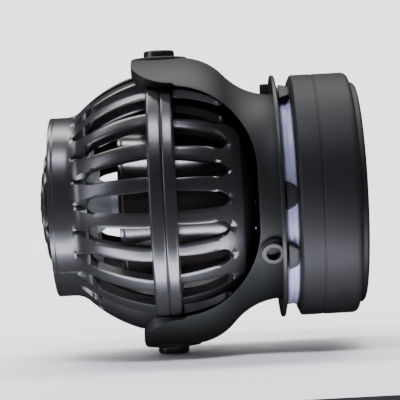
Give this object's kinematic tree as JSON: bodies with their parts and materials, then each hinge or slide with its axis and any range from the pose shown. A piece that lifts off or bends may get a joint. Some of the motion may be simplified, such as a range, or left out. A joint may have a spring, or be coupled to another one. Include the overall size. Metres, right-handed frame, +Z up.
{
  "type": "wave maker pump",
  "caption": "Caged wave maker pump for an aquarium, on a tilting forked bracket and a swivelling magnet base.",
  "frame": {"origin": "centre of the rubber face that rests on the aquarium glass", "axes": "+X out of the glass face, from the outlet nozzle to the glass, +Z up along the tilt axis"},
  "size_m": [0.0721, 0.06, 0.0688],
  "materials": {
    "cage_plastic": "moulded, semi-gloss",
    "bracket_plastic": "moulded, semi-gloss",
    "guard_plastic": "moulded, semi-gloss",
    "base_plastic": "moulded, satin",
    "cap_plastic": "moulded, glossy",
    "flange_plastic": "moulded, glossy",
    "motor_plastic": "resin sealed, glossy",
    "propeller_plastic": "moulded, satin",
    "damper_silicone": "translucent, satin",
    "black_rubber": "matt",
    "bush_rubber": "matt",
    "gasket_rubber": "matt",
    "pin_steel": "turned",
    "screw_steel": "plated",
    "keeper_steel": "zinc plated",
    "magnet_metal": "nickel plated",
    "rotor_ferrite": "ground",
    "shaft_ceramic": "ground",
    "washer_plastic": "satin",
    "bush_plastic": "satin",
    "core_steel": "lacquered laminations",
    "coil_copper": "enamelled wire",
    "potting_resin": "cast"
  },
  "bodies": {
    "magnet_base": {"base_case": "base_plastic", "holding_magnet": "magnet_metal", "magnet_keeper": "keeper_steel", "base_back_cover": "base_plastic", "glass_pad": "black_rubber", "damping_ring": "damper_silicone", "swivel_washer": "screw_steel", "swivel_screw": "screw_steel"},
    "bracket_arm": {"bracket": "bracket_plastic", "bracket_flange": "flange_plastic", "bumper_feet": "black_rubber", "cable_gland": "bush_rubber", "upper_pivot_pin": "pin_steel", "lower_pivot_pin": "pin_steel", "upper_pivot_cap": "cap_plastic", "lower_pivot_cap": "cap_plastic"},
    "pump": {"front_cage": "cage_plastic", "rear_cage": "cage_plastic", "outlet_guard": "guard_plastic", "front_shaft_seat": "bush_rubber", "rear_shaft_seat": "bush_rubber", "shaft": "shaft_ceramic", "front_thrust_washer": "washer_plastic", "rear_thrust_washer": "washer_plastic", "motor_housing": "motor_plastic", "motor_front_cover": "motor_plastic", "cover_gasket": "gasket_rubber", "stator_core": "core_steel", "stator_coils": "coil_copper", "potting_ring": "potting_resin", "motor_screws": "screw_steel", "motor_lead_seal": "bush_rubber"},
    "rotor": {"propeller": "propeller_plastic", "propeller_nut": "propeller_plastic", "rotor_sleeve": "bush_plastic", "rotor_magnet": "rotor_ferrite", "rotor_front_bush": "bush_plastic", "rotor_rear_bush": "bush_plastic"}
  },
  "joints": [
    {"name": "bracket_swivel", "type": "hinge", "parent": "magnet_base", "child": "bracket_arm", "pos_m": [-0.0184, 0, 0], "axis": [1, 0, 0], "continuous": true},
    {"name": "pump_tilt", "type": "hinge", "parent": "bracket_arm", "child": "pump", "pos_m": [-0.0437, 0, 0], "axis": [0, 0, 1], "range_deg": [-20, 20]},
    {"name": "propeller_spin", "type": "hinge", "parent": "pump", "child": "rotor", "pos_m": [-0.0437, 0, 0], "axis": [1, 0, 0], "continuous": true}
  ]
}
